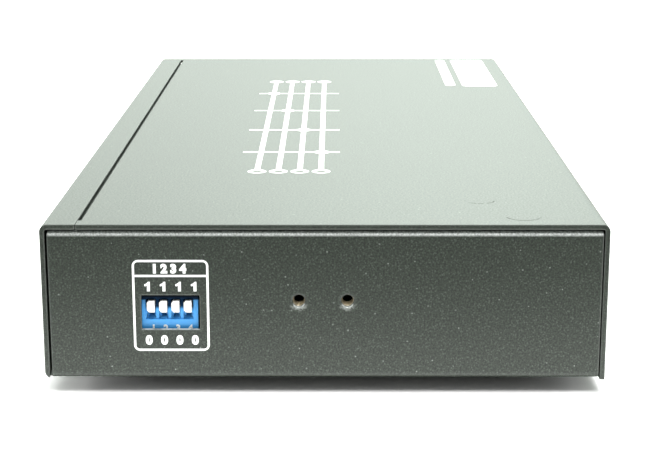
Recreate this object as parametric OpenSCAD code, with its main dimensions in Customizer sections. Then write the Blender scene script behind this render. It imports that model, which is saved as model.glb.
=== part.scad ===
// Video matrix switch in a folded sheet-metal box, in millimetres.
// X runs along the long front, with the end that carries the slide switch at plus X.
// Y runs from the front controls to the rear sockets, and Z is up from the table.

/* [Housing] */
// Length of the housing from end to end
case_l = 240; // [236:1:280]
// Depth of the housing from front to rear
case_w = 116; // [112:1:140]
// Height of the housing without its feet
case_h = 32.8; // [31:0.1:44]
// Thickness of the painted sheet
sheet_t = 1; // [0.8:0.1:1.2]
// Outer radius of every bend in the sheet
bend_r = 1.5; // [1.3:0.1:2]
// Width of the front lip that folds back over the top
lip_w = 7.2; // [6:0.2:12]
// Gap between the tops of the end walls and the cover
lid_gap = 0.45; // [0.3:0.05:0.7]
// Gap between the rear wall and the tray inside it
rear_gap = 0.3; // [0.2:0.05:0.5]
// Width of the flange that folds in at the top of each end wall
end_flange_w = 4; // [3:0.1:4.2]
// Length of each end of the cover that is left straight beside the joggle
joggle_in = 4.4; // [4.3:0.1:6]
// Width of the joggle that steps the cover down under the lip
joggle_w = 0.9; // [0.6:0.1:1.5]
// Length of the tongue that slides under the lip
tongue_l = 4.5; // [3:0.1:5.4]
// Length by which the rear wall hangs below the floor
rear_drop = 0.2; // [0.1:0.1:1]
// Height of the flange at the rear of the floor
rear_flange_h = 7; // [6:0.1:7.3]
// Height of the feet
foot_h = 3.6; // [2.5:0.1:6]
// Diameter of the feet where they meet the floor
foot_d = 12; // [9:0.5:14]
// Distance from a foot's centre to the nearest end of the housing
foot_in_x = 18; // [14:0.5:40]
// Distance from a foot's centre to the front or rear of the housing
foot_in_y = 15; // [12:0.5:30]

/* [Holes for the mounting ears] */
// Diameter of the tapped holes in the end walls
ear_hole_d = 2.5; // [2:0.1:3]
// Distance between the two holes of a pair
ear_pitch = 10; // [8:0.5:14]
// Radius of the drawn-in entry of each hole
ear_entry_r = 0.5; // [0.3:0.05:0.7]
// Length of the collar that is drawn in behind the sheet
ear_collar_l = 2.6; // [0.8:0.1:3]

/* [Slide switch in the end wall] */
// Distance between neighbouring sliders
dip_pitch = 2.54; // [2.4:0.02:2.7]
// Width of the window in the end wall
window_w = 12; // [11:0.1:13]
// Height of the window in the end wall
window_h = 7.4; // [6.6:0.1:8]
// Distance from the front of the housing to the window's centre
window_in = 26.35; // [24:0.05:34]
// Height of the window's centre above the floor's underside
window_z = 14.25; // [13.2:0.05:16]
// Height of the switch's body, along the sliders' travel
dip_h = 9.9; // [9:0.1:10.4]
// Depth of the switch's body, from its face to its board
dip_t = 5.8; // [4.5:0.1:6.5]
// Width of a slider
slider_w = 1.6; // [1.2:0.05:1.7]
// Height of a slider
slider_h = 2.5; // [2:0.1:2.8]
// Travel of a slider
slider_travel = 1.5; // [1:0.1:2]

/* [Front controls] */
// Diameter of the push buttons
button_d = 6; // [5:0.1:7]
// Height of a button proud of the front
button_out = 1.2; // [0.8:0.1:2]
// Travel of a button
button_travel = 0.5; // [0.2:0.05:0.8]
// Diameter of the indicator lamps
lamp_d = 3; // [2.5:0.1:3.4]
// Distance between neighbouring lamps
lamp_pitch = 5.08; // [4.6:0.02:5.6]
// Width of the window in front of the remote receiver
receiver_w = 12; // [10:0.5:14]
// Height of the window in front of the remote receiver
receiver_h = 7; // [5:0.5:8]

/* [Rear connectors] */
// Inner width of a video socket
socket_w = 14; // [13.8:0.05:14.2]
// Inner height of a video socket
socket_h = 4.55; // [4.4:0.05:4.8]
// Depth of a video socket from its mouth to its back
socket_l = 11; // [10:0.1:12]
// Length by which the sockets stand out of the rear wall
socket_out = 0.5; // [0.2:0.1:1]
// Diameter of the centre pin in the power jack
power_pin_d = 2.1; // [1.9:0.1:2.5]
// Bore of the power jack
power_bore_d = 6.3; // [5.9:0.1:6.6]
// Bore of the jack for the receiver cable
audio_bore_d = 3.6; // [3.5:0.05:3.8]
// Distance between the jackscrews of the serial connector
jackscrew_pitch = 24.99; // [24.9:0.01:25.1]
// Length by which the jackscrews stand out of the rear wall
jackscrew_out = 5; // [4:0.1:6]

/* [Boards] */
// Thickness of the circuit boards
board_t = 1.6; // [1.2:0.1:1.8]
// Height of the pillars under the main board
pillar_h = 5; // [4.5:0.1:5.4]
// Distance from the main board to the housing's ends
board_in_x = 6; // [5.5:0.1:8]
// Distance from the main board's front edge to the front of the housing
board_in_front = 7; // [6:0.1:8]
// Distance from the main board's rear edge to the rear of the housing
board_in_rear = 3; // [2.8:0.1:4]
// Side of the square matrix chip
chip_w = 24; // [18:0.5:28]
// Side of the square heatsink
sink_w = 38; // [30:0.5:44]
// Height of the heatsink
sink_h = 10; // [8:0.5:12]
// Number of fins on the heatsink
fin_count = 10; // [6:1:12]

/* [Hidden] */
$fn = 48;
case_colour = [0.19, 0.20, 0.19];
steel_colour = [0.75, 0.76, 0.78];
board_colour = [0.05, 0.30, 0.16];
black_colour = [0.07, 0.07, 0.08];
blue_colour = [0.10, 0.42, 0.80];
white_colour = [0.94, 0.94, 0.92];
rubber_colour = [0.10, 0.10, 0.10];
gold_colour = [0.80, 0.65, 0.25];

// One overrun serves every cut, and one slip clearance serves pieces that slide or seat
over = 0.5;
slip = 0.15;
seam_gap = 0.15;
// Length by which each bend runs into the flat sheet on both its sides
join = 0.3;

// The front and rear parts that stand out are balanced about the origin
shift_y = (button_out - jackscrew_out) / 2;

// Planes of the housing, measured in its own frame
front_y = -case_w / 2;
rear_y = case_w / 2;
front_in_y = front_y + sheet_t;
rear_in_y = rear_y - sheet_t;
tray_rear_y = rear_in_y - rear_gap;
end_x = case_l / 2;
lip_y = front_y + lip_w;
end_top = case_h - sheet_t - lid_gap;
joggle_drop = sheet_t + seam_gap;
joggle_steps = 8;
relief_w = 0.6;
mid_z = case_h / 2;

// Boards
board_z = sheet_t + pillar_h;
board_top = board_z + board_t;
board_x = end_x - board_in_x;
board_front_y = front_y + board_in_front;
board_rear_y = rear_y - board_in_rear;
board_in_end = 1.2;
front_board_in = 2;
front_board_y = board_front_y + front_board_in;
board_headroom = 7;
front_board_top = case_h - board_headroom;
front_board_in_x = 4;
front_board_x = board_x - front_board_in_x;

// Pillars and screws
pillar_d = 6;
screw_d = 3;
screw_core_d = 2.5;
screw_head_d = 5.6;
screw_head_h = 2;
screw_l = 4;
screw_hole_d = screw_d + 2 * slip;
pillar_shank_d = 4.2;
pillar_fit = 0.02;
pillar_x_share = [-0.44, -0.04, 0.40];
pillar_front_in = 13;
cover_screw_x_share = [-0.44, 0.02, 0.44];
cover_screw_z = 4;

// Ear holes
ear_shift = -0.3;
ear_collar_wall = 0.55;
ear_lift = 0.3;
ear_z = mid_z + ear_lift;

// Slide switch
dip_count = 4;
dip_margin = 0.85;
dip_side = -0.35;
dip_w = dip_count * dip_pitch + 2 * dip_margin;
dip_face_gap = 0.4;
dip_face_x = end_x - sheet_t - dip_face_gap;
window_y = front_y + window_in;
dip_y = window_y + dip_side;
dip_recess_d = 0.35;
dip_slot_d = 1.4;
dip_slot_w = slider_w + 2 * slip;
dip_slot_h = slider_h + slider_travel + 2 * slip;
dip_slot_lift = 0.3;
dip_slot_z = window_z + dip_slot_lift;
dip_stem_w = slider_w / 2;
dip_stem_l = 2;
slider_out = 0.7;
slider_bevel = 0.45;
header_w = 2.5;
header_up = 2.5;
header_pins = 8;
header_pitch = 2.54;
pin_row = 7.62;
pin_w = 0.5;
pin_l = (header_w - pin_w) / 2 - slip;
header_h = dip_slot_z - pin_row / 2 - pin_w - board_top;
end_board_w = dip_w + 7;
end_board_top = front_board_top;

// Front controls, and the gaps that hold a button's flange behind the wall
button_flange_w = 0.9;
button_flange_t = 0.8;
button_gap = 0.3;
button_round = 0.4;
plunger_d = 3.2;
plunger_in = 1;
switch_w = 6;
switch_h = 3.5;
switch_floor = 1;
lamp_count = 4;
lamp_first_share = 5.2;
lamp_flange_w = 0.4;
lamp_flange_t = 1;
lamp_out = 0.3;
lamp_l = 5.3;
group_x_share = [-0.19, 0, 0.19, 0.38];
group_first = 2.35 * lamp_pitch;
power_button_share = -0.44;
power_lamp_share = -0.39;
receiver_share = -0.315;
receiver_round = 1;
receiver_body_w = 6.4;
receiver_body_h = 7;
receiver_body_t = 4;
receiver_lens_r = 2.6;
window_flange_w = 1;
window_flange_t = 0.8;

// Rear connectors
socket_wall = 0.3;
socket_side_h = 2.3;
socket_chamfer = 1.95;
socket_lift = 0.1;
tongue_w = 11.2;
tongue_t = 1;
tongue_in = 1;
tongue_base_l = 3;
tongue_up = 0.5;
output_share = [0.325, 0.2375, 0.15, 0.0625];
input_share = [-0.025, -0.1125, -0.2, -0.2875];
power_jack_share = 0.44;
audio_jack_share = 0.39;
power_jack_w = 9;
power_jack_h = 11;
power_jack_l = 13.5;
power_nose_d = 8.4;
power_bore_l = 9.5;
audio_jack_w = 6.5;
audio_jack_h = 5.6;
audio_jack_l = 12;
audio_nose_d = 5.8;
serial_share = -0.405;
serial_flange_w = 30.8;
serial_flange_h = 12.2;
serial_flange_t = 0.8;
serial_w = 16.3;
serial_h = 8.2;
serial_round = 1.6;
serial_slope = 0.9;
serial_wall = 0.4;
serial_body_l = 11;
serial_hole_d = 1.1;
serial_hole_l = 6;
serial_pin_pitch = 2.77;
serial_row = 2.84;
serial_lift = 0.2;
hex_d = 5.5;
jackscrew_hole_d = 2.2;
jackscrew_stud_d = 2.8;
jackscrew_hole_l = 3.5;

// Parts on the main board
chip_t = 2;
sink_base = 2.5;
fin_t = 1;
buffer_w = 6;
buffer_t = 1;
buffer_back = 9;
can_d = 8;
can_h = 11.5;
can_round = 0.6;
can_groove = 0.35;
can_groove_z = 1.6;
can_x_share = [0.40, 0.35, 0.30, 0.25];
can_y_share = -0.06;
chip_x_share = 0.09;
chip_y_share = 0.02;

// Puts a piece of the housing's frame onto its feet and balances it about the origin
module placed() {
    translate([0, shift_y, foot_h]) children();
}

// A box between two values on each axis
module block(x, y, z) {
    translate([x[0], y[0], z[0]]) cube([x[1] - x[0], y[1] - y[0], z[1] - z[0]]);
}

// A drawing whose axes are Y and Z, carried along X on both sides of the middle
module along_x(l) {
    rotate([90, 0, 90]) linear_extrude(l, center = true) children();
}

// A drawing whose axes are X and Z, carried towards the rear from y
module along_y(y, l) {
    translate([0, y + l, 0]) rotate([90, 0, 0]) linear_extrude(l) children();
}

// A round bar or hole along Y from y, at x and z
module round_y(x, y, z, d, l) {
    translate([x, y, z]) rotate([-90, 0, 0]) cylinder(d = d, h = l);
}

// A rectangle with round corners about the origin
module rounded(w, h, r) {
    square([w, h - 2 * r], center = true);
    square([w - 2 * r, h], center = true);
    for (sx = [-1, 1], sy = [-1, 1])
        translate([sx * (w / 2 - r), sy * (h / 2 - r)]) circle(r);
}

// A bend about the origin, in the quadrant that sx and sy name, run on into both flats
module bend(sx, sy) mirror([(1 - sx) / 2, 0]) mirror([0, (1 - sy) / 2]) {
    intersection() {
        difference() {
            circle(bend_r);
            circle(bend_r - sheet_t);
        }
        square(bend_r);
    }
    translate([-join, bend_r - sheet_t]) square([join, sheet_t]);
    translate([bend_r - sheet_t, -join]) square([sheet_t, join]);
}

// Section of the front wall with its two bends and the lip over the top. At the ends of the
// housing the lower bend stops short of the end walls by the relief in the corner
module front_section() {
    intersection() {
        translate([front_y + bend_r, bend_r]) bend(-1, -1);
        translate([front_y, 0]) square([bend_r - relief_w, bend_r + join]);
    }
    translate([front_y, bend_r]) square([sheet_t, case_h - 2 * bend_r]);
    translate([front_y + bend_r, case_h - bend_r]) bend(-1, 1);
    translate([front_y + bend_r, case_h - sheet_t]) square([lip_w - bend_r, sheet_t]);
}

// Section from the front wall over the floor to the flange that stands up at its rear
module tray_section() {
    front_section();
    translate([front_y + bend_r, bend_r]) bend(-1, -1);
    translate([front_y + bend_r, 0])
        square([tray_rear_y - front_y - 2 * bend_r, sheet_t]);
    translate([tray_rear_y - bend_r, bend_r]) bend(1, -1);
    translate([tray_rear_y - sheet_t, bend_r]) square([sheet_t, rear_flange_h - bend_r]);
}

// Section of an end wall with its lower bend and the flange at its top
module end_section() {
    translate([end_x - bend_r, bend_r]) bend(1, -1);
    translate([end_x - sheet_t, bend_r]) square([sheet_t, end_top - 2 * bend_r]);
    translate([end_x - bend_r, end_top - bend_r]) bend(1, 1);
    translate([end_x - end_flange_w, end_top - sheet_t])
        square([end_flange_w - bend_r, sheet_t]);
}

// The bore and the drawn-in, rounded entry of one ear hole, along X from the outer face
module ear_hole() {
    rotate([0, -90, 0]) {
        translate([0, 0, -over]) cylinder(d = ear_hole_d, h = sheet_t + ear_collar_l + 2 * over);
        rotate_extrude() difference() {
            translate([0, -over])
                square([ear_hole_d / 2 + ear_entry_r, ear_entry_r + over]);
            translate([ear_hole_d / 2 + ear_entry_r, ear_entry_r]) circle(ear_entry_r);
        }
    }
}

// The places of the two ear holes on one end wall
module at_ear_holes() {
    for (s = [-1, 1])
        translate([end_x, ear_shift + s * ear_pitch / 2, ear_z]) children();
}

// One end wall without its holes, at the plus X end
module end_wall() {
    along_y(front_y + bend_r, tray_rear_y - front_y - bend_r) end_section();
    at_ear_holes() translate([-sheet_t - ear_collar_l, 0, 0]) rotate([0, 90, 0])
        cylinder(d = ear_hole_d + 2 * ear_collar_wall, h = ear_collar_l + sheet_t / 2);
}

// Holes in the front wall for the buttons, the lamps and the receiver window
module front_holes() {
    for (x = button_places())
        round_y(x, front_y - over, mid_z, button_d + 2 * slip, sheet_t + 2 * over);
    for (x = lamp_places())
        round_y(x, front_y - over, mid_z, lamp_d + 2 * slip, sheet_t + 2 * over);
    along_y(front_y - over, sheet_t + 2 * over)
        translate([receiver_share * case_l, mid_z])
            rounded(receiver_w + 2 * slip, receiver_h + 2 * slip, receiver_round + slip);
}

// Floor, front wall with its lip, rear flange and both end walls, folded from one sheet
module base_tray() color(case_colour) placed() difference() {
    union() {
        along_x(case_l) front_section();
        along_x(case_l - 2 * bend_r) tray_section();
        end_wall();
        mirror([1, 0, 0]) end_wall();
    }
    front_holes();
    at_ear_holes() ear_hole();
    mirror([1, 0, 0]) at_ear_holes() ear_hole();
    block([end_x - sheet_t - over, end_x + over],
          [window_y - window_w / 2, window_y + window_w / 2],
          [window_z - window_h / 2, window_z + window_h / 2]);
    for (s = cover_screw_x_share)
        round_y(s * case_l, tray_rear_y - sheet_t - over, cover_screw_z, screw_core_d,
                sheet_t + 2 * over);
    at_pillars() translate([0, 0, -over])
        cylinder(d = pillar_shank_d + 2 * pillar_fit, h = sheet_t + 2 * over);
}

// Section of the cover: the top, the rear bend and the rear wall
module cover_section() {
    translate([lip_y + seam_gap + joggle_w, case_h - sheet_t])
        square([rear_y - bend_r - lip_y - seam_gap - joggle_w, sheet_t]);
    translate([rear_y - bend_r, case_h - bend_r]) bend(1, 1);
    translate([rear_in_y, -rear_drop]) square([sheet_t, case_h - bend_r + rear_drop]);
}

// Height of the joggle's upper face at a share of its width
function joggle_z(u) = case_h - joggle_drop * (1 - cos(180 * u)) / 2;
function joggle_y(u) = lip_y + seam_gap + joggle_w * (1 - u);

// Section of the joggle and of the tongue that lies under the lip
module joggle_section() {
    upper = [for (i = [0:joggle_steps]) let (u = i / joggle_steps) [joggle_y(u), joggle_z(u)]];
    lower = [for (i = [joggle_steps:-1:0]) let (u = i / joggle_steps)
        [joggle_y(u), joggle_z(u) - sheet_t]];
    tip = joggle_y(1) - tongue_l;
    root = joggle_y(0) + join;
    polygon(concat([[root, case_h]], upper, [[tip, joggle_z(1)], [tip, joggle_z(1) - sheet_t]],
                   lower, [[root, case_h - sheet_t]]));
}

// Opening in the rear wall round one video socket
module socket_outline(grow) {
    w = socket_w / 2 + grow;
    h = socket_h / 2 + grow;
    polygon([[-w, h], [w, h], [w, h - socket_side_h - grow], [w - socket_chamfer, -h],
             [socket_chamfer - w, -h], [-w, h - socket_side_h - grow]]);
}

// The D shape of the serial connector
module serial_outline(grow) {
    w = serial_w / 2 - serial_round;
    h = serial_h / 2 - serial_round;
    offset(serial_round + grow)
        polygon([[-w, h], [w, h], [w - serial_slope, -h], [serial_slope - w, -h]]);
}

// Openings in the rear wall
module rear_holes() {
    y = rear_in_y - over;
    l = sheet_t + 2 * over;
    for (s = concat(output_share, input_share))
        along_y(y, l) translate([s * case_l, socket_z()])
            socket_outline(socket_wall + 2 * slip);
    round_y(power_jack_share * case_l, y, power_jack_z(), power_nose_d + 4 * slip, l);
    round_y(audio_jack_share * case_l, y, audio_jack_z(), audio_nose_d + 4 * slip, l);
    along_y(y, l) translate([serial_share * case_l, serial_z()]) serial_outline(2 * slip);
    for (s = [-1, 1])
        round_y(serial_share * case_l + s * jackscrew_pitch / 2, y, serial_z(),
                screw_hole_d, l);
    for (s = cover_screw_x_share)
        round_y(s * case_l, y, cover_screw_z, screw_hole_d, l);
}

// Top and rear wall folded from one sheet, with a joggled tongue at the front
module top_cover() color(case_colour) placed() difference() {
    union() {
        along_x(case_l) cover_section();
        along_x(case_l - 2 * joggle_in) joggle_section();
        for (m = [0, 1]) mirror([m, 0, 0])
            block([end_x - joggle_in + relief_w, end_x],
                  [joggle_y(1), joggle_y(0) + join],
                  [case_h - sheet_t, case_h]);
    }
    rear_holes();
}

// A pan-head screw along minus Z, with its head above the origin
module screw(l) {
    translate([0, 0, -l]) cylinder(d = screw_core_d - 2 * slip, h = l + screw_head_h / 2);
    rotate_extrude() intersection() {
        square([screw_head_d / 2, screw_head_h]);
        translate([0, screw_head_h - screw_head_d]) circle(screw_head_d);
    }
}

module cover_screws() color(steel_colour) placed()
    for (s = cover_screw_x_share)
        translate([s * case_l, rear_y, cover_screw_z]) rotate([-90, 0, 0])
            screw(screw_l);

// A rubber foot with a rounded lower edge and a shallow draft
foot_draft = 0.6;
foot_round = 0.8;
module foot(sx, sy) color(rubber_colour)
    translate([sx * (end_x - foot_in_x), shift_y + sy * (rear_y - foot_in_y), 0])
        rotate_extrude() {
            r = foot_d / 2 - foot_draft;
            polygon([[0, foot_round], [r, foot_round], [foot_d / 2, foot_h], [0, foot_h]]);
            square([r - foot_round, foot_h / 2]);
            translate([r - foot_round, foot_round]) circle(foot_round);
        }
module foot_front_left() foot(-1, -1);
module foot_front_right() foot(1, -1);
module foot_rear_left() foot(-1, 1);
module foot_rear_right() foot(1, 1);

// The six places where the main board is screwed down
module at_pillars() {
    rear = rear_y + socket_out - socket_l - buffer_back - buffer_w - pillar_d;
    for (s = pillar_x_share, y = [board_front_y + pillar_front_in, rear])
        translate([s * case_l, y, 0]) children();
}

// Pillars pressed into the floor, with their shanks flush with its underside
module board_pillars() color(steel_colour) placed() at_pillars() difference() {
    union() {
        translate([0, 0, sheet_t]) cylinder(d = pillar_d, h = pillar_h);
        cylinder(d = pillar_shank_d, h = sheet_t + over);
    }
    translate([0, 0, board_z - screw_l]) cylinder(d = screw_core_d, h = screw_l + over);
}

module board_screws() color(steel_colour) placed() at_pillars()
    translate([0, 0, board_top]) screw(screw_l);

module main_board() color(board_colour) placed() difference() {
    block([-board_x, board_x], [board_front_y, board_rear_y], [board_z, board_top]);
    at_pillars() translate([0, 0, board_z - over])
        cylinder(d = screw_hole_d, h = board_t + 2 * over);
}

// Upright board behind the front wall, standing on the main board
module front_board() color(board_colour) placed()
    block([-front_board_x, front_board_x], [front_board_y, front_board_y + board_t],
          [board_top, front_board_top]);

// Upright board behind the end wall, drilled for the slide switch's pins
module end_board() color(board_colour) placed() difference() {
    block([dip_face_x - dip_t - board_t, dip_face_x - dip_t],
          [dip_y - end_board_w / 2, dip_y + end_board_w / 2], [board_top, end_board_top]);
    at_dip_pins() translate([-dip_t - board_t - over, 0, 0]) rotate([0, 90, 0])
        cylinder(d = pin_w + 4 * slip, h = board_t + 2 * over);
}

// Strips of pins that join the upright boards to the main board
module header_strip(n) {
    l = n * header_pitch;
    block([-l / 2, l / 2], [0, header_w], [0, header_h]);
    for (i = [0:n - 1])
        block([(i + 0.5) * header_pitch - (l + pin_w) / 2,
               (i + 0.5) * header_pitch - (l - pin_w) / 2],
              [(header_w - pin_w) / 2, (header_w + pin_w) / 2], [0, header_h + header_up]);
}
module board_headers() color(black_colour) placed() {
    translate([0, front_board_y + board_t, board_top]) header_strip(2 * header_pins);
    translate([dip_face_x - dip_t - board_t, dip_y, board_top])
        rotate([0, 0, 90]) header_strip(dip_count + 1);
}

// Places of the slide switch's sliders on its face, and of its pins
module at_slider(i) {
    translate([dip_face_x, dip_y + (i - (dip_count - 1) / 2) * dip_pitch, dip_slot_z])
        children();
}
module at_dip_pins() {
    for (i = [0:dip_count - 1], s = [-1, 1])
        at_slider(i) translate([0, 0, s * pin_row / 2]) children();
}

// Moulded body of the slide switch, recessed round its four slots
module dip_housing() color(blue_colour) placed() difference() {
    block([dip_face_x - dip_t, dip_face_x], [dip_y - dip_w / 2, dip_y + dip_w / 2],
          [dip_slot_z - dip_h / 2, dip_slot_z + dip_h / 2]);
    block([dip_face_x - dip_recess_d, dip_face_x + over],
          [dip_y - dip_w / 2 + dip_margin + slip, dip_y + dip_w / 2 - dip_margin - slip],
          [dip_slot_z - dip_slot_h / 2, dip_slot_z + dip_slot_h / 2]);
    for (i = [0:dip_count - 1]) at_slider(i) {
        block([-dip_recess_d - dip_slot_d, 0], [-dip_slot_w / 2, dip_slot_w / 2],
              [-dip_slot_h / 2, dip_slot_h / 2]);
        block([-dip_recess_d - dip_slot_d - dip_stem_l, 0],
              [-dip_stem_w / 2 - slip, dip_stem_w / 2 + slip],
              [-dip_slot_h / 2, dip_slot_h / 2]);
    }
}

module dip_pins() color(steel_colour) placed() at_dip_pins()
    block([-dip_t - board_t - pin_l, -dip_t], [-pin_w / 2, pin_w / 2], [-pin_w / 2, pin_w / 2]);

// One slider in its upper position, with the stem that runs in the slot's floor
module dip_slider(i) color(white_colour) placed() at_slider(i)
    translate([0, 0, slider_travel / 2]) {
        floor_x = -dip_recess_d - dip_slot_d;
        translate([floor_x + slip, 0, 0]) rotate([90, 0, 90])
            linear_extrude(slider_out - floor_x - slip) polygon([
                [-slider_w / 2, -slider_h / 2 + slider_bevel],
                [-slider_w / 2 + slider_bevel, -slider_h / 2], [slider_w / 2, -slider_h / 2],
                [slider_w / 2, slider_h / 2], [-slider_w / 2 + slider_bevel, slider_h / 2],
                [-slider_w / 2, slider_h / 2 - slider_bevel]]);
        block([floor_x + 2 * slip - dip_stem_l, floor_x + 2 * slip],
              [-dip_stem_w / 2, dip_stem_w / 2],
              [-slider_h / 2 + slider_bevel, slider_h / 2 - slider_bevel]);
    }
module dip_slider_1() dip_slider(0);
module dip_slider_2() dip_slider(1);
module dip_slider_3() dip_slider(2);
module dip_slider_4() dip_slider(3);

// Places along the front: a group's lamps are on its left and its button on its right
function group_x(i) = group_x_share[i] * case_l;
function group_button(i) = group_x(i) + group_first;
function group_lamp(i, k) = group_x(i) + group_first - (lamp_first_share - k) * lamp_pitch;
function button_places() =
    concat([power_button_share * case_l], [for (i = [0:3]) group_button(i)]);
function lamp_places() = concat([power_lamp_share * case_l],
    [for (i = [0:3], k = [0:lamp_count - 1]) group_lamp(i, k)]);

// A button turned about Y: cap, flange behind the wall and the plunger it presses
module button(x) color(black_colour) placed() translate([x, front_y - button_out, mid_z])
    rotate([-90, 0, 0]) {
        flange_z = button_out + sheet_t + button_gap;
        plunger_end = front_board_y - front_y + button_out - switch_h + plunger_in;
        rotate_extrude() {
            square([button_d / 2 - button_round, flange_z]);
            translate([0, button_round]) square([button_d / 2, flange_z - button_round]);
            translate([button_d / 2 - button_round, button_round]) circle(button_round);
            translate([0, flange_z])
                square([button_d / 2 + button_flange_w, button_flange_t]);
            translate([0, flange_z + button_flange_t])
                square([plunger_d / 2, plunger_end - flange_z - button_flange_t]);
        }
    }
module power_button() button(button_places()[0]);
module select_button_a() button(button_places()[1]);
module select_button_b() button(button_places()[2]);
module select_button_c() button(button_places()[3]);
module select_button_d() button(button_places()[4]);

// Push switches on the front board, one behind each button
module push_switches() color(black_colour) placed()
    for (x = button_places()) difference() {
        block([x - switch_w / 2, x + switch_w / 2], [front_board_y - switch_h, front_board_y],
              [mid_z - switch_w / 2, mid_z + switch_w / 2]);
        round_y(x, front_board_y - switch_h - over, mid_z, plunger_d + 2 * slip,
                switch_h - switch_floor + over);
    }

// A lamp turned about Y, with a domed nose in the front wall
lamp_base_y = front_y - lamp_out + lamp_l;
module lamp(x) translate([x, lamp_base_y, mid_z]) rotate([90, 0, 0]) rotate_extrude() {
    square([lamp_d / 2 + lamp_flange_w, lamp_flange_t]);
    square([lamp_d / 2, lamp_l - lamp_d / 2]);
    translate([0, lamp_l - lamp_d / 2]) intersection() {
        circle(d = lamp_d);
        translate([0, -lamp_d / 2]) square([lamp_d / 2, lamp_d]);
    }
}
module lamp_row(i) color(white_colour) placed()
    for (k = [0:lamp_count - 1]) lamp(group_lamp(i, k));
module power_lamp() color(white_colour) placed() lamp(lamp_places()[0]);
module lamp_row_a() lamp_row(0);
module lamp_row_b() lamp_row(1);
module lamp_row_c() lamp_row(2);
module lamp_row_d() lamp_row(3);

module lamp_spacers() color(black_colour) placed()
    for (x = lamp_places()) difference() {
        round_y(x, lamp_base_y, mid_z, lamp_d + 2 * lamp_flange_w,
                front_board_y - lamp_base_y);
        round_y(x, lamp_base_y - over, mid_z, lamp_d - 2 * lamp_flange_w,
                front_board_y - lamp_base_y + 2 * over);
    }

// Dark window in the front wall, held by a flange behind it
module receiver_window() color([0.25, 0.02, 0.03]) placed()
    translate([receiver_share * case_l, 0, mid_z]) {
        along_y(front_y, sheet_t + window_flange_t)
            rounded(receiver_w, receiver_h, receiver_round);
        along_y(front_in_y, window_flange_t)
            rounded(receiver_w + 2 * window_flange_w, receiver_h + 2 * window_flange_w,
                    receiver_round);
    }

// Receiver module on the front board, with its lens towards the window
module remote_receiver() color(black_colour) placed()
    translate([receiver_share * case_l, front_board_y, mid_z]) {
        block([-receiver_body_w / 2, receiver_body_w / 2], [-receiver_body_t, 0],
              [-receiver_body_h / 2, receiver_body_h / 2]);
        translate([0, -receiver_body_t, 0]) intersection() {
            sphere(receiver_lens_r);
            rotate([90, 0, 0]) translate([0, 0, -over])
                cylinder(r = receiver_lens_r, h = receiver_lens_r + over);
        }
    }

// Heights of the rear connectors' middles
function socket_z() = board_top + socket_lift + socket_wall + socket_h / 2;
function power_jack_z() = board_top + power_jack_h - power_nose_d / 2;
function audio_jack_z() = board_top + audio_jack_h / 2;
function serial_z() = board_top + serial_lift + serial_flange_h / 2;

// Folded steel shell of one video socket, open at its mouth and at its back
module video_shell(share) color(steel_colour) placed()
    translate([share * case_l, 0, socket_z()])
        along_y(rear_y + socket_out - socket_l, socket_l) difference() {
            socket_outline(socket_wall);
            socket_outline(0);
        }
module output_socket_a() video_shell(output_share[0]);
module output_socket_b() video_shell(output_share[1]);
module output_socket_c() video_shell(output_share[2]);
module output_socket_d() video_shell(output_share[3]);
module input_socket_1() video_shell(input_share[0]);
module input_socket_2() video_shell(input_share[1]);
module input_socket_3() video_shell(input_share[2]);
module input_socket_4() video_shell(input_share[3]);

// Moulded block at the back of a shell, with the tongue that carries the contacts
module video_tongue(share) translate([share * case_l, 0, socket_z()]) {
    back = rear_y + socket_out - socket_l;
    along_y(back, tongue_base_l) socket_outline(-slip);
    block([-tongue_w / 2, tongue_w / 2], [back, rear_y + socket_out - tongue_in],
          [tongue_up - tongue_t / 2, tongue_up + tongue_t / 2]);
}
module output_tongues() color(black_colour) placed()
    for (s = output_share) video_tongue(s);
module input_tongues() color(black_colour) placed()
    for (s = input_share) video_tongue(s);

// A jack's moulded body on the board, with a round nose through the rear wall
module jack_body(x, z, w, h, l, nose_d) {
    block([x - w / 2, x + w / 2], [rear_in_y - rear_gap - l, rear_in_y - rear_gap],
          [board_top, board_top + h]);
    round_y(x, rear_in_y - rear_gap - over, z, nose_d, sheet_t + rear_gap + over);
}
module power_jack_housing() color(black_colour) placed() difference() {
    x = power_jack_share * case_l;
    jack_body(x, power_jack_z(), power_jack_w, power_jack_h, power_jack_l, power_nose_d);
    round_y(x, rear_y - power_bore_l, power_jack_z(), power_bore_d, power_bore_l + over);
}
module power_jack_pin() color(steel_colour) placed()
    round_y(power_jack_share * case_l, rear_y - power_bore_l, power_jack_z(), power_pin_d,
            power_bore_l - power_pin_d / 2);
module audio_jack_housing() color(black_colour) placed() difference() {
    x = audio_jack_share * case_l;
    jack_body(x, audio_jack_z(), audio_jack_w, audio_jack_h, audio_jack_l, audio_nose_d);
    round_y(x, rear_y - audio_jack_l, audio_jack_z(), audio_bore_d, audio_jack_l + over);
}

// Pressed flange and D-shaped shell of the serial connector
module serial_shell() color(steel_colour) placed()
    translate([serial_share * case_l, 0, serial_z()]) difference() {
        union() {
            along_y(rear_in_y - serial_flange_t, serial_flange_t)
                square([serial_flange_w, serial_flange_h], center = true);
            along_y(rear_in_y - serial_flange_t, sheet_t + jackscrew_out + serial_flange_t)
                serial_outline(0);
        }
        along_y(rear_in_y - serial_flange_t - over,
                sheet_t + jackscrew_out + serial_flange_t + 2 * over)
            serial_outline(-serial_wall);
        for (s = [-1, 1])
            round_y(s * jackscrew_pitch / 2, rear_in_y - serial_flange_t - over, 0,
                    screw_hole_d, serial_flange_t + 2 * over);
    }

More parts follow.
